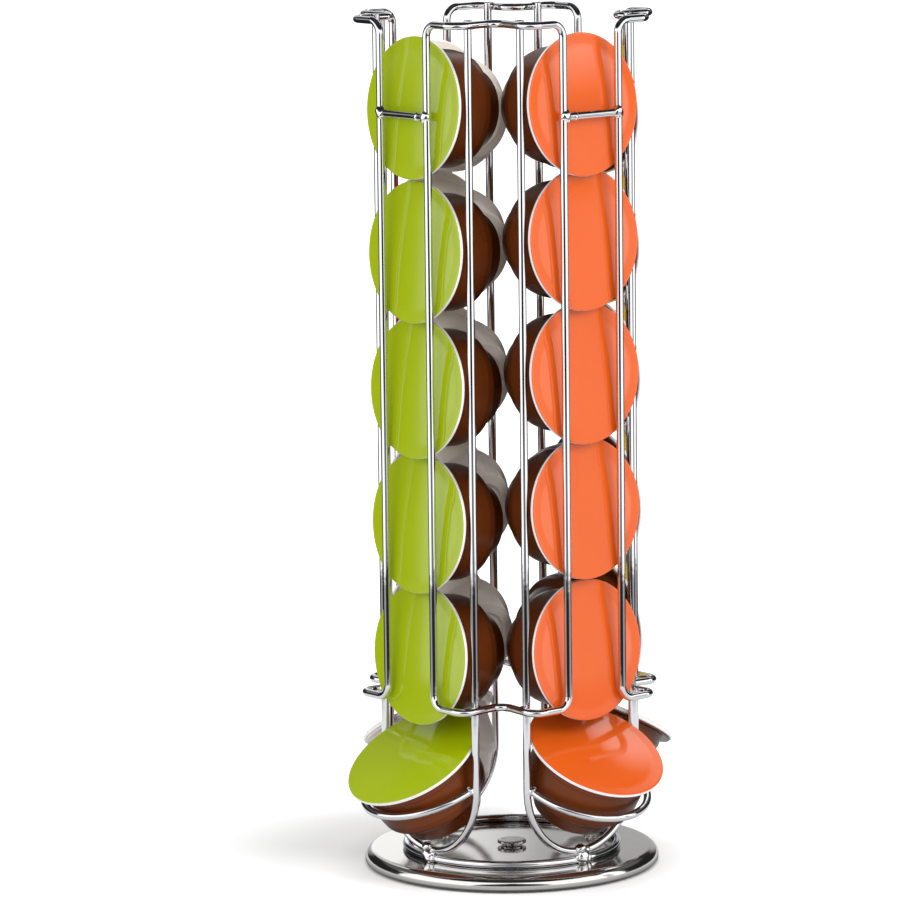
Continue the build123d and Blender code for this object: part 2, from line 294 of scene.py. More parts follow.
# %% [markdown]
# ## Bright chrome on steel wire
#
# The rack is soft steel wire, polished, nickel plated and given a thin coat of chromium. The coat is a
# mirror with a slightly cool grey of its own, and it is so even that nearly all one sees is the room. Up
# close the wire keeps a trace of the die that it was drawn through: very low waves, some millimetres long,
# that make the reflected lines swim a little. A noise bump does that, and a second noise makes the polish a
# little uneven.
#
# The same plating looks different over other steel. On the pressed sheet the waves are broad and the polish
# is a little duller, so the disc mirrors softly. On weld metal they are short, and each lump glitters. The
# rivet is tumbled in a drum and not polished, so it is the dullest and only gleams.


# %% Chrome
POLISH_MM, UNEVEN = 3.0, 0.4  # the size of the patches in the polish, and how far they stray from the mean


def chrome(name, colour, dull, wave_mm, wave_height_mm):
    """Metal that mirrors: one noise for uneven polish, one for low waves under the plating."""
    material, tree, out = finish(name)
    place = add(tree, "ShaderNodeTexCoord").outputs["Object"]
    polish = add(tree, "ShaderNodeTexNoise", {"Vector": place, "Scale": per_metre(POLISH_MM), "Detail": 3.0})
    waves = add(tree, "ShaderNodeTexNoise", {"Vector": place, "Scale": per_metre(wave_mm), "Detail": 1.0})
    bump = add(tree, "ShaderNodeBump", {
        "Height": waves.outputs["Fac"], "Distance": wave_height_mm * MM, "Strength": 1.0})
    dullness = add(tree, "ShaderNodeMapRange", {
        "Value": polish.outputs["Fac"], "To Min": dull * (1 - UNEVEN), "To Max": dull * (1 + UNEVEN)})
    shader = add(tree, "ShaderNodeBsdfPrincipled", {
        "Base Color": linear(colour), "Metallic": 1.0, "Normal": bump.outputs["Normal"],
        "Roughness": dullness.outputs["Result"]})
    tree.links.new(shader.outputs[0], out.inputs["Surface"])
    return material


chromed_wire = chrome("chrome_plated_steel_wire", "#E2E3E6", 0.045, 4.0, 0.012)
chromed_sheet = chrome("chrome_plated_steel_sheet", "#DBD9D5", 0.11, 14.0, 0.010)
plated_weld = chrome("chrome_plated_weld_metal", "#F1F1F2", 0.13, 1.5, 0.02)
plated_rivet = chrome("tumbled_and_plated_rivet_steel", "#BDBBB8", 0.24, 5.0, 0.004)
print("metals:", [metal.name for metal in (chromed_wire, chromed_sheet, plated_weld, plated_rivet)])

# %% [markdown]
# ## Wires
#
# Every part of the rack is round wire 3 mm thick. A Blender curve with a bevel would do, but a surface
# shows how a tube is made: a circle is carried along a route, always square to it. The route is a list of
# corners with an arc at each, because that is how a wire is bent, round a pin.


# %% A route with bends
def bent_route(corners, bend, steps=24, ease=0.35, share=0.3):
    """Corners joined by straight runs, with an arc of radius bend round each. With u and v the directions
    into and out of a corner, t the turn between them and w the part of v square to u, the arc starts bend *
    tan(t / 2) before the corner, and its point at angle a is bend * (sin a * u + (1 - cos a) * w) further
    on. One more point on the straight run keeps its shading straight. It is ease away from the arc, or that
    share of a shorter run."""
    corners = np.asarray(corners, float)
    bend = np.broadcast_to(bend, len(corners) - 2)[:, None]
    coming, going = unit(corners[1:-1] - corners[:-2]), unit(corners[2:] - corners[1:-1])
    turn = np.arccos(np.clip((coming * going).sum(-1, keepdims=True), -1, 1))
    square = unit(going - np.cos(turn) * coming)
    start = corners[1:-1] - bend * np.tan(turn / 2) * coming
    a = (turn * np.linspace(0, 1, steps))[..., None]
    rounding = np.sin(a) * coming[:, None] + (1 - np.cos(a)) * square[:, None]
    arcs = start[:, None] + bend[..., None] * rounding
    run_starts = np.concatenate([corners[:1], arcs[:, -1]])
    run_ends = np.concatenate([arcs[:, 0], corners[-1:]])
    step = np.minimum(ease, share * np.linalg.norm(run_ends - run_starts, axis=1))[:, None]
    before, after = arcs[:, 0] - step[:-1] * coming, arcs[:, -1] + step[1:] * going
    bends = np.concatenate([before[:, None], arcs, after[:, None]], axis=1)
    return np.concatenate([corners[:1], bends.reshape(-1, 3), corners[-1:]])


print("a route with one corner has", len(bent_route([(0, 0, 0), (9, 0, 0), (9, 9, 0)], BAR_BEND_R)), "points")

# %% A wire along a route
END_ROUND, END_STEPS = 0.35, 5  # a sheared and tumbled wire end has a small round, drawn with a few rings


def wire(route, side, joined=False, around=28, radius=WIRE_R):
    """A circle carried along a route. T is the direction of the route, N the part of the fixed direction
    side that is square to T, and B = T x N. The point at angle a is C + r * (cos a * N + sin a * B). At an
    open end the circle shrinks along a quarter arc, and one more circle behind it keeps the shading
    straight."""
    steps = unit(np.roll(route, -1, 0) - route)
    forward = unit(steps + np.roll(steps, 1, 0))
    radii = np.full(len(route), float(radius))
    if not joined:
        forward[0], forward[-1] = steps[0], steps[-2]
        a = np.linspace(0, np.pi / 2, END_STEPS)
        inset = np.append(END_ROUND * (1 - np.cos(a)), 2 * END_ROUND)
        small = np.append(radius - END_ROUND * (1 - np.sin(a)), radius)
        starts = route[0] + forward[0] * inset[:, None]
        ends = route[-1] - forward[-1] * inset[::-1, None]
        route = np.concatenate([starts, route[1:-1], ends])
        radii = np.concatenate([small, radii[1:-1], small[::-1]])
        first, last = np.repeat(forward[[0, -1]], END_STEPS + 1, 0).reshape(2, -1, 3)
        forward = np.concatenate([first, forward[1:-1], last])
    across = unit(side - (forward @ side)[:, None] * forward)
    other = np.cross(forward, across)
    a = np.linspace(0, 2 * np.pi, around, endpoint=False)[:, None]
    circle = np.cos(a) * across[:, None] + np.sin(a) * other[:, None]
    return skin(route[:, None] + radii[:, None, None] * circle, joined)


ACROSS, ALONG, UP = np.eye(3)
print("a straight wire has", len(wire(np.outer([0.0, 50.0, 100.0], UP), ACROSS)[1]), "faces")

# %% [markdown]
# ### Guard loops, hairpins, tie bars and hoops
#
# A guard loop is one closed wire on each face. Its two legs run down in front of the capsule rims of the
# two columns beside it. At the top and bottom the wire swings out round the rims and back in at the middle
# of the face, where it touches the hairpins. A hairpin is a long U whose bend stands on the base ring, and
# its legs run behind the capsule rims. A tie bar joins two guard loops across each column, and the hoop is
# a half circle that slopes down from leg to leg round the lowest capsule.


# %% Guard loops
def guard_loop():
    """Ten corners in the plane view, five at the top and the same five at the bottom, from mid leg to mid
    leg."""
    bar = np.array([guard_leg, hump, (DIP_REACH, 0), hump * [1, -1], guard_leg * [1, -1]])
    top = np.column_stack([bar, np.full(5, TOP_BAR_Z)])
    low = np.column_stack([bar[::-1], np.full(5, LOW_BAR_Z)])
    start = [[*guard_leg, (TOP_BAR_Z + LOW_BAR_Z) / 2]]
    route = bent_route(np.concatenate([start, top, low, start]), BAR_BEND_R)
    return wire(route[:-1], ACROSS, joined=True)


loop_points, loop_faces = guard_loop()
for face, angle in FACES.items():
    piece("bent_loop_" + face, "carousel", [chromed_wire],
          (quarter_turned(loop_points, angle), loop_faces), "guard_loop_" + face)


# %% Hairpins, hoops and tie bars
half_turn = np.linspace(0, np.pi, 49)
LEG_EASE = 0.4  # one more ring this far above the bend keeps the leg's shading straight, mm


def hairpin():
    """Two straight legs and a half circle: y = R cos a, z = bend height - R sin a, for a from 0 to 180
    degrees."""
    a, leg = half_turn, LEG_TOP_Z - BEND_Z
    bend = np.column_stack([
        0 * a + HAIRPIN_REACH, HAIRPIN_HALF * np.cos(a), BEND_Z - HAIRPIN_HALF * np.sin(a)])
    down, up = bend[0] + np.outer([leg, LEG_EASE], UP), bend[-1] + np.outer([LEG_EASE, leg], UP)
    return wire(np.concatenate([down, bend, up]), ACROSS)


def cradle_hoop():
    """A half circle of radius R in a plane that slopes down and out: run = R sin a, side = R cos a."""
    run = np.concatenate([[0], HOOP_STRAIGHT + HOOP_HALF * np.sin(half_turn), [0]])
    side = np.concatenate([[HOOP_HALF], HOOP_HALF * np.cos(half_turn), [-HOOP_HALF]])
    start = HAIRPIN_REACH + WIRE_R - WELD_BITE
    slope = np.array([np.sin(HOOP_TILT), 0, np.cos(HOOP_TILT)])
    out, low = start + run * np.cos(HOOP_TILT), HOOP_Z - run * np.sin(HOOP_TILT)
    return wire(np.column_stack([out, side, low]), slope)


def tie_bar():
    """A straight wire from leg to leg: y runs from one to the other, and the rest stays."""
    y = np.linspace(-1, 1, 9) * (GUARD_HALF - WIRE_R + WELD_BITE)
    return wire(np.column_stack([0 * y + GUARD_REACH, y, 0 * y + TIE_Z]), UP)


for column, angle in COLUMNS.items():
    for name, node, (points, faces) in (
            ("bent_hairpin_", "hairpin_", hairpin()),
            ("bent_hoop_", "cradle_hoop_", cradle_hoop()),
            ("cut_tie_", "tie_bar_", tie_bar())):
        piece(name + column, "carousel", [chromed_wire],
              (quarter_turned(points, angle), faces), node + column)


# %% Base ring
def base_ring():
    """A circle of wire: the route's point at angle a is (R cos a, R sin a)."""
    a = np.linspace(0, 2 * np.pi, 160, endpoint=False)
    return wire(np.column_stack([RING_R * np.cos(a), RING_R * np.sin(a), 0 * a + RING_Z]), UP, joined=True)


piece("rolled_ring", "carousel", [chromed_wire], base_ring(), "base_ring")

# %% [markdown]
# ## Weld beads
#
# The wires are joined by resistance welding. Where two wires are pressed together the steel flows out and
# sets in small round lumps, and the plating makes them sparkle. A smooth ball would look like a bead on a
# string, so each joint is a cluster of lumps of different sizes: two or three where thin wires meet, six at
# the foot of a hairpin. Each tie bar also has one collar of spilt metal near an end. A lump is a sphere
# whose radius waves with the two angles. The waves are drawn from a seeded generator, so every run gives
# the same welds.

# %% Lumps of weld
SEED = 7
chance = np.random.default_rng(SEED)
print("lumps are drawn from seed", SEED)


def lump(centre, radii, rings=12, around=18):
    """A sphere pushed in and out. With u from pole to pole and v around, the unit sphere's point is scaled
    by 1 + 0.09 sin(3v + p) sin(2u) + 0.07 sin(2v + q) sin(3u), then by a radius for each axis."""
    u = np.linspace(-np.pi / 2, np.pi / 2, rings + 2)[1:-1, None]
    v = np.linspace(0, 2 * np.pi, around, endpoint=False)[None]
    p, q = chance.uniform(0, 2 * np.pi, 2)
    size = 1 + 0.09 * np.sin(3 * v + p) * np.sin(2 * u) + 0.07 * np.sin(2 * v + q) * np.sin(3 * u)
    ball = np.stack([np.cos(u) * np.cos(v), np.cos(u) * np.sin(v), np.sin(u) + 0 * v], -1)
    return skin(centre + size[..., None] * ball * radii)


def weld(joint, lumps, degrees, side=1):
    """Lumps round a joint, in a column's or a face's own axes and then turned into place. Each is an offset
    from the joint, mirrored across for side -1, and a radius for each axis."""
    made = [lump(np.array(joint) + np.array(offset) * [1, side, 1], radii) for offset, radii in lumps]
    return [(quarter_turned(points, degrees), faces) for points, faces in made]


# %% Lumps of each kind of joint: offset out, across and up, then the three radii, in millimetres
TIE_WELD = [((0.3, 0.9, 0.3), (2.1, 2.3, 2.6)), ((0.9, 0.2, -1.3), (1.1, 1.2, 1.0))]
TIE_COLLAR = [((0.1, -3.8, 0.0), (1.75, 1.2, 1.8))]
HOOP_WELD = [((-0.1, 0.0, -0.1), (1.7, 1.8, 1.7)), ((0.2, -0.9, 1.2), (0.8, 0.7, 0.7))]
FOOT_WELD = [
    ((1.0, -0.2, 1.0), (2.6, 2.9, 3.0)), ((1.0, -1.1, 4.2), (2.2, 2.4, 1.9)),
    ((0.7, 2.1, 3.2), (1.4, 1.5, 1.4)), ((1.6, 2.4, 0.2), (1.1, 1.4, 1.6)),
    ((1.4, -2.5, 0.9), (1.1, 1.2, 1.5)), ((-1.4, 0.4, 1.9), (1.2, 1.8, 1.4))]
BAR_WELD = [
    ((0.0, 0.0, 0.0), (1.6, 1.6, 1.7)), ((0.5, 1.0, -0.9), (0.8, 0.9, 0.8)),
    ((0.1, -1.0, 0.8), (0.7, 0.8, 0.7))]
print("lumps for each column:", 1 + 2 * len(TIE_WELD) + 2 * len(HOOP_WELD) + len(FOOT_WELD))

# %% Welds of the columns
tie_half = GUARD_HALF - WIRE_R
hoop_start = HAIRPIN_REACH + WIRE_R
welds = []
for degrees in COLUMNS.values():
    collar_side = -1 if degrees in (0, 180) else 1
    welds += weld((GUARD_REACH, collar_side * tie_half, TIE_Z), TIE_COLLAR, degrees, collar_side)
    for side in (-1, 1):
        welds += weld((GUARD_REACH, side * tie_half, TIE_Z), TIE_WELD, degrees, side)
        welds += weld((hoop_start, side * HOOP_HALF, HOOP_Z), HOOP_WELD, degrees, side)
    welds += weld((HAIRPIN_REACH, 0, RING_Z), FOOT_WELD, degrees)
print("lumps on the columns:", len(welds))

# %% Welds of the faces: a bar and a hairpin leg touch where the leg's axis is nearest to the bar's
along = unit(np.array([DIP_REACH, 0]) - hump)
touch = (hump + along * (to_leg @ along) + hairpin_leg) / 2
for degrees in FACES.values():
    for height in (LOW_BAR_Z, TOP_BAR_Z):
        for side in (-1, 1):
            welds += weld((touch[0], side * touch[1], height), BAR_WELD, degrees)
piece("weld_lumps", "carousel", [plated_weld], together(welds), "weld_beads")

# %% [markdown]
# ## Turned pieces
#
# The disc, the rivet, the cups and the lids are round about an axis, so each is a profile turned about it.
# The profile is a list of corners, each with its own small radius: nothing pressed or moulded has a sharp
# edge, and the radius is what catches the light.


# %% A profile turned about an axis
def profile(corners, bends, steps=5):
    """Corners as radius and height, with an arc at each but the ends: the wire's bent route in two
    dimensions."""
    flat = np.array([(r, 0, h) for r, h in corners], float)
    return bent_route(flat, bends, steps)[:, [0, 2]]


def turned(outline, around, reach=0.0, z=0.0, lift=90.0, degrees=0.0):
    """A profile of radius r and height h turned about an axis. The axis starts out from the rack's own axis
    at reach and z, and rises by lift degrees. The point at angle a is origin + r (cos a X + sin a Y) + h
    Z."""
    rise = np.radians(lift)
    axis = np.array([np.cos(rise), 0, np.sin(rise)])
    a = np.linspace(0, 2 * np.pi, around, endpoint=False)[:, None]
    circle = np.cos(a) * np.cross(ALONG, axis) + np.sin(a) * ALONG
    rings = np.array([reach, 0, z]) + outline[:, 0, None, None] * circle + outline[:, 1, None, None] * axis
    return quarter_turned(rings, degrees)


# %% [markdown]
# ### Disc, rivet and washer
#
# The turntable is a blank of steel sheet, pressed so that its edge turns down in a soft round, then chromed
# like the wires. It turns about a flat-headed rivet that stands on a washer a little above it.

# %% Turntable disc
PLATE_R, SHEET, RIM_R, HEM_Z, HOLE_R = 57.1, 0.8, 3.6, 0.9, 2.58
HOLE_ROUNDS, HEM_ROUNDS = (0.1, 0.15), (0.12, 0.6)  # low and high edge of the hole, inside and outside hem


def disc():
    """The outline goes round the sheet's whole section, so its last ring joins its first: down the hole,
    out under the sheet, down inside the rim, round the hem, up the outside and back in over the top."""
    inside, under, middle = PLATE_R - SHEET, PLATE_TOP - SHEET, PLATE_TOP - SHEET / 2
    outline = profile(
        [(HOLE_R, middle), (HOLE_R, under), (inside, under), (inside, HEM_Z),
         (PLATE_R, HEM_Z), (PLATE_R, PLATE_TOP), (HOLE_R, PLATE_TOP), (HOLE_R, middle)],
        [HOLE_ROUNDS[0], RIM_R - SHEET, *HEM_ROUNDS, RIM_R, HOLE_ROUNDS[1]], steps=16)
    return skin(turned(outline[:-1], 192), joined=True)


piece("pressed_disc", "carousel", [chromed_sheet], disc(), "turntable_plate")

# %% Rivet and washer
WASHER_R, WASHER_LOW, HEAD_LOW, HEAD_TOP, HEAD_R = 4.2, 6.3, 7.0, 8.2, 5.6
SHANK_R, CLINCH_R, CLINCH_LOW, CLINCH_TOP = 2.5, 4.0, 0.2, 1.0
CROWN_IN, CROWN_DROP, WASHER_SEAM = 1.2, 0.1, 6.6
rivet = profile([
    (0, CLINCH_LOW), (CLINCH_R, CLINCH_LOW), (CLINCH_R, CLINCH_TOP), (SHANK_R, CLINCH_TOP),
    (SHANK_R, HEAD_LOW), (HEAD_R, HEAD_LOW), (HEAD_R, HEAD_TOP - CROWN_DROP),
    (HEAD_R - CROWN_IN, HEAD_TOP), (0, HEAD_TOP)],
    [0.25, 0.1, 0.05, 0.05, 0.2, 0.4, 0.5])
piece("headed_rivet", "foot", [plated_rivet], skin(turned(rivet[1:-1], 72)), "pivot_rivet")

washer = profile([
    (SHANK_R, WASHER_SEAM), (SHANK_R, WASHER_LOW), (WASHER_R, WASHER_LOW), (WASHER_R, HEAD_LOW),
    (SHANK_R, HEAD_LOW), (SHANK_R, WASHER_SEAM)], [0.05, 0.15, 0.15, 0.05])
piece("punched_washer", "foot", [plated_rivet], skin(turned(washer[:-1], 64), joined=True),
      "pivot_washer")

# %% [markdown]
# ## What the disc turns on
#
# Under the disc are a foot plate of galvanised steel, a rubber pad that stops it sliding, and a ring of
# balls in a nylon cage. They hardly show, and their CAD shapes are right, so those stay and only get a
# finish. Zinc sets in flat crystals that mirror in slightly different greys, which a Voronoi pattern draws.
# Rubber from a blasted mould is black and dead matt, nylon is a warm white with a soft sheen, and a ground
# ball is a small sharp mirror.


# %% Zinc, rubber, nylon and bearing steel
def galvanised():
    """Hot-dipped zinc: cells about 6 mm across, each with its own grey and its own dullness."""
    material, tree, out = finish("hot_dipped_zinc_on_steel")
    place = add(tree, "ShaderNodeTexCoord").outputs["Object"]
    crystals = add(tree, "ShaderNodeTexVoronoi", {"Vector": place, "Scale": per_metre(6.0)})
    tone = add(tree, "ShaderNodeMix", {
        "Factor": crystals.outputs["Color"], 6: linear("#9EA3A6"), 7: linear("#C2C6C8")}, data_type="RGBA")
    dullness = add(tree, "ShaderNodeMapRange", {
        "Value": crystals.outputs["Color"], "To Min": 0.35, "To Max": 0.5})
    shader = add(tree, "ShaderNodeBsdfPrincipled", {
        "Base Color": tone.outputs[2], "Metallic": 1.0, "Roughness": dullness.outputs["Result"]})
    tree.links.new(shader.outputs[0], out.inputs["Surface"])
    return material


def grained(name, dark, light, grain_mm, depth_mm, dull, metallic=0.0):
    """A plain moulded or ground material: fine grain in colour and height, at a real size."""
    material, tree, out = finish(name)
    place = add(tree, "ShaderNodeTexCoord").outputs["Object"]
    grain = add(tree, "ShaderNodeTexNoise", {"Vector": place, "Scale": per_metre(grain_mm), "Detail": 4.0})
    tone = add(tree, "ShaderNodeMix", {
        "Factor": grain.outputs["Fac"], 6: linear(dark), 7: linear(light)}, data_type="RGBA")
    bump = add(tree, "ShaderNodeBump", {
        "Height": grain.outputs["Fac"], "Distance": depth_mm * MM, "Strength": 0.6})
    dullness = add(tree, "ShaderNodeMapRange", {
        "Value": grain.outputs["Fac"], "To Min": dull * 0.85, "To Max": dull * 1.15})
    shader = add(tree, "ShaderNodeBsdfPrincipled", {
        "Base Color": tone.outputs[2], "Metallic": metallic, "Normal": bump.outputs["Normal"],
        "Roughness": dullness.outputs["Result"]})
    tree.links.new(shader.outputs[0], out.inputs["Surface"])
    return material


def coat_node(node, material):
    """A CAD node keeps its shape and takes a new finish in all its material slots."""
    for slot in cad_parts[node].material_slots:
        slot.material = material
    print(node, "takes", material.name)


coat_node("foot_plate", galvanised())
coat_node("foot_pad", grained("moulded_nitrile_rubber", "#161616", "#232322", 0.8, 0.05, 0.75))
coat_node("ball_cage", grained("moulded_nylon", "#DAD7CE", "#E6E4DD", 1.5, 0.01, 0.4))
coat_node("bearing_balls", grained("ground_bearing_steel", "#B5B6B8", "#C6C7C9", 0.6, 0.001, 0.12, 1.0))

# %% [markdown]
# ## Cups
#
# A capsule's cup is thin polypropylene, injection moulded: a flange, a short step under it where one cup
# stands in another, a barrel that narrows a little so that it leaves the mould, a round shoulder, and a
# cone down to a flat end with a shallow dish. Polypropylene is waxy: soft highlights, and a colour that
# goes warmer where light gets into the thin wall. Flow lines from the gate in the end give a faint
# streakiness along the wall. Towards a cup's outline, as the camera sees it, the colour is painted darker:
# painted shade.

# %% Outline of a cup
DISH_DEPTH = 0.8
CUP_CORNERS = [
    (0, -CUP_DEPTH + DISH_DEPTH), (10.2, -CUP_DEPTH + DISH_DEPTH), (11.0, -CUP_DEPTH),  # the dish
    (CUP_END_R, -CUP_DEPTH), (18.75, -23.0), (21.6, -21.2),  # up the cone and round the shoulder
    (22.4, -17.5), (22.8, -6.2), (23.05, -5.9), (CUP_R, -2.9),  # up the barrel and over the step
    (23.7, -FLANGE_THICK), (CUP_FLANGE_R, -FLANGE_THICK), (CUP_FLANGE_R, -LID_THICK), (0, -LID_THICK)]
CUP_BENDS = [0.4, 0.4, 1.2, 1.6, 2.6, 2.6, 0.12, 0.12, 0.4, 0.3, 0.25, 0.15]
cup_outline = profile(CUP_CORNERS, CUP_BENDS)
print("cup outline rings:", len(cup_outline))


# %% Polypropylene
def polypropylene(name, deep, plain, warm):
    """Moulded polypropylene: a broad noise moves the tone a little, and a fine one roughens the skin. The
    real skin's grain is finer, and 0.7 mm is about the least that shows. Towards the outline, as the camera
    sees it, the tone goes over to deep: painted shade."""
    material, tree, out = finish(name)
    place = add(tree, "ShaderNodeTexCoord").outputs["Object"]
    flow = add(tree, "ShaderNodeTexNoise", {"Vector": place, "Scale": per_metre(18.0), "Detail": 3.0})
    skin_grain = add(tree, "ShaderNodeTexNoise", {"Vector": place, "Scale": per_metre(0.7), "Detail": 3.0})
    edge = add(tree, "ShaderNodeLayerWeight", {"Blend": 0.5})
    tone = add(tree, "ShaderNodeMix", {
        "Factor": flow.outputs["Fac"], 6: linear(plain), 7: linear(warm)}, data_type="RGBA")
    # painted shade: the tone goes to the deep colour towards the outline, as the camera sees it
    shaded = add(tree, "ShaderNodeMix", {
        "Factor": edge.outputs["Facing"], 6: tone.outputs[2], 7: linear(deep)}, data_type="RGBA")
    bump = add(tree, "ShaderNodeBump", {
        "Height": skin_grain.outputs["Fac"], "Distance": 0.008 * MM, "Strength": 0.5})
    dullness = add(tree, "ShaderNodeMapRange", {"Value": flow.outputs["Fac"], "To Min": 0.24, "To Max": 0.34})
    shader = add(tree, "ShaderNodeBsdfPrincipled", {
        "Base Color": shaded.outputs[2], "IOR": 1.49, "Specular IOR Level": 0.25,
        "Normal": bump.outputs["Normal"], "Roughness": dullness.outputs["Result"]})
    tree.links.new(shader.outputs[0], out.inputs["Surface"])
    return material


# the first colour of each is painted shade, mixed in towards each cup's outline
brown_cup = polypropylene("moulded_brown_polypropylene", "#170802", "#6F320F", "#88441B")
cream_cup = polypropylene("moulded_cream_polypropylene", "#E2DBD0", "#EBE3D7", "#F0E9DE")
print("cups:", brown_cup.name, "and", cream_cup.name)

# %% Cups in their columns
for column, degrees in COLUMNS.items():
    colour, material = ("cup_cream", cream_cup) if column == "left" else ("cup_brown", brown_cup)
    places = [(LID_REACH, z, LID_LEAN) for z in LID_Z[column]]
    places.append((LOW_REACH[column], LOW_Z[column], LOW_LIFT[column]))
    for number, (reach, z, lift) in enumerate(places, 1):
        body = "low_capsule_" + column if number == len(places) else "stack_" + column
        shape = skin(turned(cup_outline[1:-1], 96, reach, z, lift, degrees))
        which = "%s_%d" % (column, number)
        piece("moulded_cup_" + which, body, [material], shape, "cup_" + which)

# %% [markdown]
# ## Lids
#
# The lid is a film of printed and lacquered aluminium, sealed hot to the flange over a ring about 4 mm
# wide. The gas that the coffee gives off swells it, so inside the seal it bulges by about half a
# millimetre, and the long soft reflections bend there. The film stops at the rim, whose white plastic edge
# shows as a thin line.

# %% Outline of a lid
LID_EDGE_R, FLAT_TO_R, SEAL_IN_R, BULGE, FOLDED = 0.45, 23.4, 22.6, 0.55, 0.3
r = np.linspace(SEAL_IN_R, 1.0, 16)
swell = BULGE * (1 - (r / SEAL_IN_R) ** 2)  # a film blown up over a ring is a paraboloid, near enough
rim = profile([
    (0, -LID_THICK), (FLANGE_R, -LID_THICK), (FLANGE_R, 0), (FLAT_TO_R, 0)],
    [LID_EDGE_R, LID_EDGE_R], steps=8)
lid_outline = np.concatenate([rim[1:], np.column_stack([r, swell])])
film_ring = int(np.argmax(lid_outline[:, 1] > -FOLDED))  # the film is folded over the edge as far as here
print("lid outline rings:", len(lid_outline), "film from ring", film_ring)


# %% Lacquered film and white rim
def lacquered_film(name, plain, deep):
    """Printed aluminium film under clear lacquer: ink that varies a little, and a coat that mirrors softly.
    The ink itself is nearly matt, so the colour is deep where the lacquer mirrors something dark."""
    material, tree, out = finish(name)
    place = add(tree, "ShaderNodeTexCoord").outputs["Object"]
    ink = add(tree, "ShaderNodeTexNoise", {"Vector": place, "Scale": per_metre(25.0), "Detail": 2.0})
    ripple = add(tree, "ShaderNodeTexNoise", {"Vector": place, "Scale": per_metre(9.0), "Detail": 1.0})
    tone = add(tree, "ShaderNodeMix", {
        "Factor": ink.outputs["Fac"], 6: linear(plain), 7: linear(deep)}, data_type="RGBA")
    bump = add(tree, "ShaderNodeBump", {
        "Height": ripple.outputs["Fac"], "Distance": 0.018 * MM, "Strength": 0.7})
    shader = add(tree, "ShaderNodeBsdfPrincipled", {
        "Base Color": tone.outputs[2], "Roughness": 0.5, "IOR": 1.5, "Specular IOR Level": 0.04,
        "Coat Weight": 1.0, "Coat Roughness": 0.09, "Coat IOR": 1.62, "Normal": bump.outputs["Normal"],
        "Coat Normal": bump.outputs["Normal"]})
    tree.links.new(shader.outputs[0], out.inputs["Surface"])
    return material


films = {
    "front": ("lid_green", lacquered_film("green_lacquered_film", "#A5B900", "#9CB000")),
    "right": ("lid_orange", lacquered_film("orange_lacquered_film", "#DF5F18", "#D95815")),
    "back": ("lid_yellow", lacquered_film("yellow_lacquered_film", "#F0C21C", "#E8B410")),
    "left": ("lid_red", lacquered_film("red_lacquered_film", "#B3241F", "#A51B1A")),
}
white_rim = grained("white_polypropylene_rim", "#E9E8EC", "#F4F3F6", 1.0, 0.005, 0.35)
print("films:", [film.name for _, film in films.values()])

# %% Lids on the cups
LID_AROUND = 128


def lids(places, degrees):
    """Several lids in one skin, and for each face which finish it has: film inside the edge, white rim
    outside."""
    skins = [skin(turned(lid_outline, LID_AROUND, reach, z, lift, degrees)) for reach, z, lift in places]
    ring = np.repeat(np.arange(len(lid_outline) - 1), LID_AROUND)
    one = np.concatenate([ring < film_ring, np.ones(LID_AROUND, bool), np.zeros(LID_AROUND, bool)])
    return together(skins), np.tile(one, len(places)).astype(np.int32)


for column, degrees in COLUMNS.items():
    colour, film = films[column]
    stack, pick = lids([(LID_REACH, z, LID_LEAN) for z in LID_Z[column]], degrees)
    piece("sealed_lids_" + column, "stack_" + column, [film, white_rim], stack,
          "stack_lids_" + column, pick)
    single, pick = lids([(LOW_REACH[column], LOW_Z[column], LOW_LIFT[column])], degrees)
    piece("sealed_low_lid_" + column, "low_capsule_" + column, [film, white_rim], single,
          "low_lid_" + column, pick)

# %% [markdown]
# ## Floor and background
#
# The ground is plain white, with a soft shadow to the left. More light on a white floor would also wash out
# the object, so the floor looks at what kind of ray meets it. The light that falls on the object sees plain
# paper. A camera ray sees paper with some glow added, little near the disc and more further out, so the
# shadow stays and the rest is white. Near the disc this is painted shade over the real shade, and in a patch
# left of the disc the glow is less still: a painted shadow over the real one. A mirror sees a small white
# table: near the disc a painted shade, then white up to the table's edge at about 0.4 m, and beyond it a
# studio floor, grey at the sides and dark in front. The floor is one sheet of rings, so both glows are
# formulas of radius and angle, kept in attributes of its points.

# %% Sheets and smooth steps
camera_azimuth = np.degrees(np.arctan2(CAMERA_EYE[1], CAMERA_EYE[0]))
print("camera azimuth:", round(float(camera_azimuth), 1))


def ramp(value, start, end):
    """0 before start, 1 after end, and a smooth S between them: t * t * (3 - 2 * t)."""
    t = np.clip((value - start) / (end - start), 0, 1)
    return t * t * (3 - 2 * t)


def band(value, start, end, soft):
    """1 between start and end, falling off over soft on both sides."""
    return ramp(value, start - soft, start) * (1 - ramp(value, end, end + soft))


def round_sheet(name, radii, heights, material, **glows):
    """A sheet of rings about the rack's axis, with one value for every point under each name in glows. A
    glow is a formula of off, the degrees from the camera's side with right positive, radius and height."""
    steps = np.arange(0, 360, 1.5)
    a = np.radians(steps)[None]
    radii, heights = np.asarray(radii, float)[:, None], np.asarray(heights, float)[:, None]
    rows = np.stack([radii * np.cos(a), radii * np.sin(a), heights + 0 * a], -1)
    made = mesh_object(name, rows.reshape(-1, 3), strips(*rows.shape[:2]), [material])
    off = (steps[None] - camera_azimuth + 180) % 360 - 180
    for glow, formula in glows.items():
        values = formula(off, radii, heights) + 0 * off * radii
        made.data.attributes.new(glow, "FLOAT", "POINT").data.foreach_set("value", values.ravel())
    print(name, "has", len(radii), "rings of", len(steps), "points")
    return made


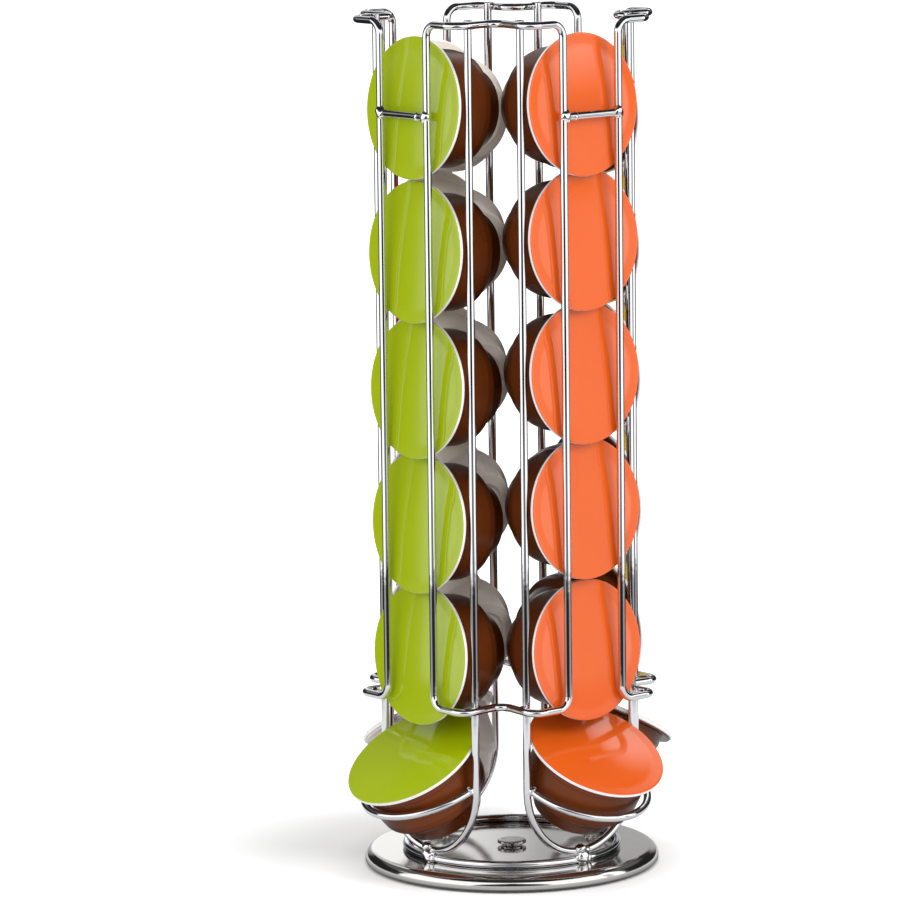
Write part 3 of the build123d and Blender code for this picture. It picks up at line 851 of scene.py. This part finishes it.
# %% Floor
def paper_floor():
    """White paper with the glows that a camera ray and a mirror ray see."""
    material, tree, out = finish("white_paper_ground")
    path = add(tree, "ShaderNodeLightPath")
    looks = add(tree, "ShaderNodeMath", {
        0: path.outputs["Is Camera Ray"], 1: path.outputs["Is Transmission Ray"]}, operation="MAXIMUM")
    seen = add(tree, "ShaderNodeAttribute", attribute_name="seen_glow")
    glow = add(tree, "ShaderNodeMath", {0: looks.outputs[0], 1: seen.outputs["Fac"]}, operation="MULTIPLY")
    paper = add(tree, "ShaderNodeBsdfDiffuse", {"Color": linear("#E8E8E8")})
    light = add(tree, "ShaderNodeEmission", {"Color": (1, 1, 1, 1), "Strength": glow.outputs[0]})
    lit = add(tree, "ShaderNodeAddShader", {0: paper.outputs[0], 1: light.outputs[0]})
    mirrored = add(tree, "ShaderNodeAttribute", attribute_name="mirror_glow")
    table = add(tree, "ShaderNodeEmission", {"Color": (1, 1, 1, 1), "Strength": mirrored.outputs["Fac"]})
    both = add(tree, "ShaderNodeMixShader", {
        0: path.outputs["Is Glossy Ray"], 1: lit.outputs[0], 2: table.outputs[0]})
    tree.links.new(both.outputs[0], out.inputs["Surface"])
    return material


# %% What a direct look and a mirror see of the floor
# the glow rises outwards from the disc, so the floor near the rack has painted shade over its real shade
SEEN_AT = [PLATE_R - 1, PLATE_R + 1, 75, 100, 300, 1500]
SEEN_LIGHT = [0.0, 0.22, 0.34, 0.38, 0.40, 0.80]
# a painted shadow: in this patch left of the disc the glow is cut by up to this share, over the real shadow
PAINTED_SHADOW_DEPTH, PAINTED_SHADOW_FROM, PAINTED_SHADOW_TO = 0.75, -165, -112
# TABLE_LIGHT is low at the disc's edge: painted shade of the disc in the floor that mirrors see
TABLE_AT, TABLE_LIGHT = [PLATE_R, PLATE_R + 8, 100, 300], [0.15, 0.6, 0.75, 1.0]
TABLE_FROM, TABLE_TO, STUDIO_FROM, STUDIO_TO = 320, 430, 900, 1200


def seen_glow(off, radius, height):
    """What a direct look sees added: nothing under the disc, some beside it, full white from a metre on. So
    the floor is darker near the rack, painted shade over the real shade, and a patch left of the disc gets
    less still: a painted shadow over the real one that the right lamp casts."""
    shadow = PAINTED_SHADOW_DEPTH * band(off, PAINTED_SHADOW_FROM, PAINTED_SHADOW_TO, 40) * (1 - ramp(radius, 80, 150))
    return np.interp(radius, SEEN_AT, SEEN_LIGHT) * (1 - shadow)


def mirror_glow(off, radius, height):
    """What a mirror sees: painted shade at the disc, the white table, and beyond it grey at the sides but
    dark in front."""
    table = np.interp(radius, TABLE_AT, TABLE_LIGHT) * (1 - ramp(radius, TABLE_FROM, TABLE_TO))
    studio = ramp(radius, TABLE_FROM, TABLE_TO) * (1 - ramp(radius, STUDIO_FROM, STUDIO_TO))
    return np.maximum(0.02, table + 0.4 * studio * band(np.abs(off), 46, 84, 14))


# the rings are close at the disc's edge, where the glow changes quickly
floor_radii = np.concatenate([
    [1, 30, 52, 56, 57, 58, 60, 62], np.linspace(65, 110, 10), np.linspace(120, 480, 19),
    np.geomspace(520, 9000, 24)])
round_sheet("ground", floor_radii, 0 * floor_radii - 0.05, paper_floor(),
            seen_glow=seen_glow, mirror_glow=mirror_glow)

# %% World
FILL_LIGHT, PAPER_WHITE = 0.8, 1.0  # what falls on the object, and what a look or a mirror sees
world = bpy.data.worlds.new("studio")
scene.world = world
world.use_nodes = True
tree = world.node_tree
tree.nodes.clear()
path = add(tree, "ShaderNodeLightPath")
looks = add(tree, "ShaderNodeMath", {
    0: path.outputs["Is Camera Ray"], 1: path.outputs["Is Glossy Ray"]}, operation="MAXIMUM")
looks = add(tree, "ShaderNodeMath", {
    0: looks.outputs[0], 1: path.outputs["Is Transmission Ray"]}, operation="MAXIMUM")
fill = add(tree, "ShaderNodeBackground", {"Color": (1, 1, 1, 1), "Strength": FILL_LIGHT})
white = add(tree, "ShaderNodeBackground", {"Color": (1, 1, 1, 1), "Strength": PAPER_WHITE})
seen = add(tree, "ShaderNodeMixShader", {0: looks.outputs[0], 1: fill.outputs[0], 2: white.outputs[0]})
add(tree, "ShaderNodeOutputWorld", {"Surface": seen.outputs[0]})
print("world light:", FILL_LIGHT)

# %% [markdown]
# ## The tent that the chrome mirrors
#
# Chrome has no look of its own, so a photographer builds one: tall white panels left and right of the
# camera, a gap between them for the lens, and black cloth behind and above. The panels draw the white bands
# on the wires, the gap the thin dark line down their middle, and the cloth their dark edges. The gap is
# wide at the table and closes over the lens. A narrow strip past the right panel gives the wires a second,
# thin line of light, and a paler wall behind gives the disc its flat grey.
#
# The lacquered lids are flat, so each mirrors only a small patch of the room. Pale cards at those places
# lighten the tops of the upright lids, the middles of the orange ones and the far sides of the two low
# ones. The tent is one more round sheet with its brightness in an attribute, and only mirrors see it: it
# neither lights nor shades the object.

# %% Panels, walls and cards, by degrees from the camera and height in millimetres
TENT_R, TENT_TOP = 700.0, 1150.0
CLOTH, ROOF = 0.02, 0.04
PANEL_LIGHT, PANEL_LEFT, PANEL_RIGHT, STRIP = 1.45, -94.1, 74.5, (85.5, 94)
LENS_AT, LENS_GAP = [0, 40, 140, 220, 330, 460], [33, 30, 27, 23, 14, 0]
GREEN_CARD, ORANGE_CARD = (-106, -97), (76, 84)


def panels(off, height):
    """A left and a right panel with the lens between them, and the strip. All three end under the roof."""
    gap = np.interp(height, LENS_AT, LENS_GAP)
    wide = np.maximum(band(off, PANEL_LEFT, -gap, 1.5), band(off, gap, PANEL_RIGHT, 2))
    lit = wide + 1.25 * band(off, *STRIP, 2.5)
    return PANEL_LIGHT * lit * ramp(height, -60, 20) * (1 - ramp(height, 540, 680))


def walls(off, height):
    """The pale wall behind, a dim band high up on both sides of it, and a dim foot in the gap of the
    lens."""
    behind = 0.5 * ramp(np.abs(off), 146, 164) * (1 - ramp(height, 170, 260))
    beside = 0.13 * band(np.abs(off), 104, 150, 12) * band(height, 420, 640, 100)
    foot = 0.22 * (np.abs(off) < 40) * (1 - ramp(height, 40, 120))
    return behind + beside + foot


def cards(off, height):
    """The cards for the upright lids, at the height of the top ones and, for the orange lids, all the way
    below, and two high ones for the low lids. The one on the left has a slanting lower edge."""
    tops = ramp(height, 322, 400) * (1 - ramp(height, 440, 520))
    tops = tops * (0.5 * band(off, *GREEN_CARD, 2) + 2.2 * band(off, *ORANGE_CARD, 2))
    middles = 0.7 * band(off, *ORANGE_CARD, 3) * (1 - ramp(height, 300, 325))
    slant = ramp((height - 560) / 160 - (off + 141) / 7, 0.5, 1.1) * (1 - ramp(height, 980, 1060))
    high_left = 0.7 * slant * band(off, -175, -128, 8)
    high_right = np.maximum(0.9 * band(off, 153, 180, 8) * band(height, 700, 1000, 60),
                            1.8 * band(off, 141, 180, 6) * band(height, 690, 780, 60))
    return tops + middles + high_left + high_right


# %% Tent
def tent_glow(off, radius, height):
    """On the wall, the sum of its zones, and no less than black cloth has. On the roof, cloth alone."""
    lit = panels(off, height) + walls(off, height) + cards(off, height)
    return np.where(radius < TENT_R, ROOF, np.maximum(CLOTH, lit))


cloth, tree, out = finish("tent_cloth")
bright = add(tree, "ShaderNodeAttribute", attribute_name="glow")
shine = add(tree, "ShaderNodeEmission", {"Color": (1, 1, 1, 1), "Strength": bright.outputs["Fac"]})
tree.links.new(shine.outputs[0], out.inputs["Surface"])
wall = np.concatenate([np.linspace(0, 300, 21), np.linspace(330, TENT_TOP, 28)])
roof = np.linspace(TENT_R, 5, 7)[1:]
tent_radii = np.concatenate([0 * wall + TENT_R, roof])
tent_heights = np.concatenate([wall, 0 * roof + TENT_TOP])
tent = round_sheet("tent", tent_radii, tent_heights, cloth, glow=tent_glow)
tent.visible_camera = tent.visible_diffuse = tent.visible_shadow = tent.visible_transmission = False

# %% [markdown]
# ## Lamps
#
# Broad soft panels light the object. The one on the right is by far the strongest, so the shadow falls to
# the left, as in the photograph. One on the left fills the other side, one stands low beside the lens and
# reaches in under the capsules, one hangs above, and one behind on the left reaches the cream cups. They
# don't show in the chrome, because the tent already does that.


# %% Lamps
def panel(name, off, distance, height, width, watts):
    """A square area lamp at an angle from the camera, aimed at the middle of the rack."""
    a = np.radians(camera_azimuth + off)
    eye = Vector((distance * np.cos(a), distance * np.sin(a), height))
    light = bpy.data.lights.new(name, "AREA")
    light.shape, light.size, light.energy = "SQUARE", width, watts
    lamp = bpy.data.objects.new(name, light)
    lamp.location = eye
    lamp.rotation_euler = (RACK_MIDDLE - eye).to_track_quat("-Z", "Y").to_euler()
    lamp.visible_glossy = False
    scene.collection.objects.link(lamp)
    print("%-16s %3d degrees from the camera, %2d watts" % (name, off, watts))


RACK_MIDDLE = Vector((0, 0, 0.16))
panel("right_panel", off=62, distance=1.5, height=1.1, width=0.9, watts=15)
panel("left_panel", off=-48, distance=1.6, height=0.8, width=1.0, watts=3)
panel("front_panel", off=-6, distance=1.9, height=0.45, width=0.8, watts=4)
panel("top_panel", off=0, distance=0.15, height=1.7, width=0.9, watts=3)
panel("back_left_panel", off=-104, distance=1.5, height=0.7, width=0.7, watts=3)

# %% [markdown]
# ## Finish
#
# Last come the view settings.

# %% Finish
scene.view_settings.view_transform = "Standard"
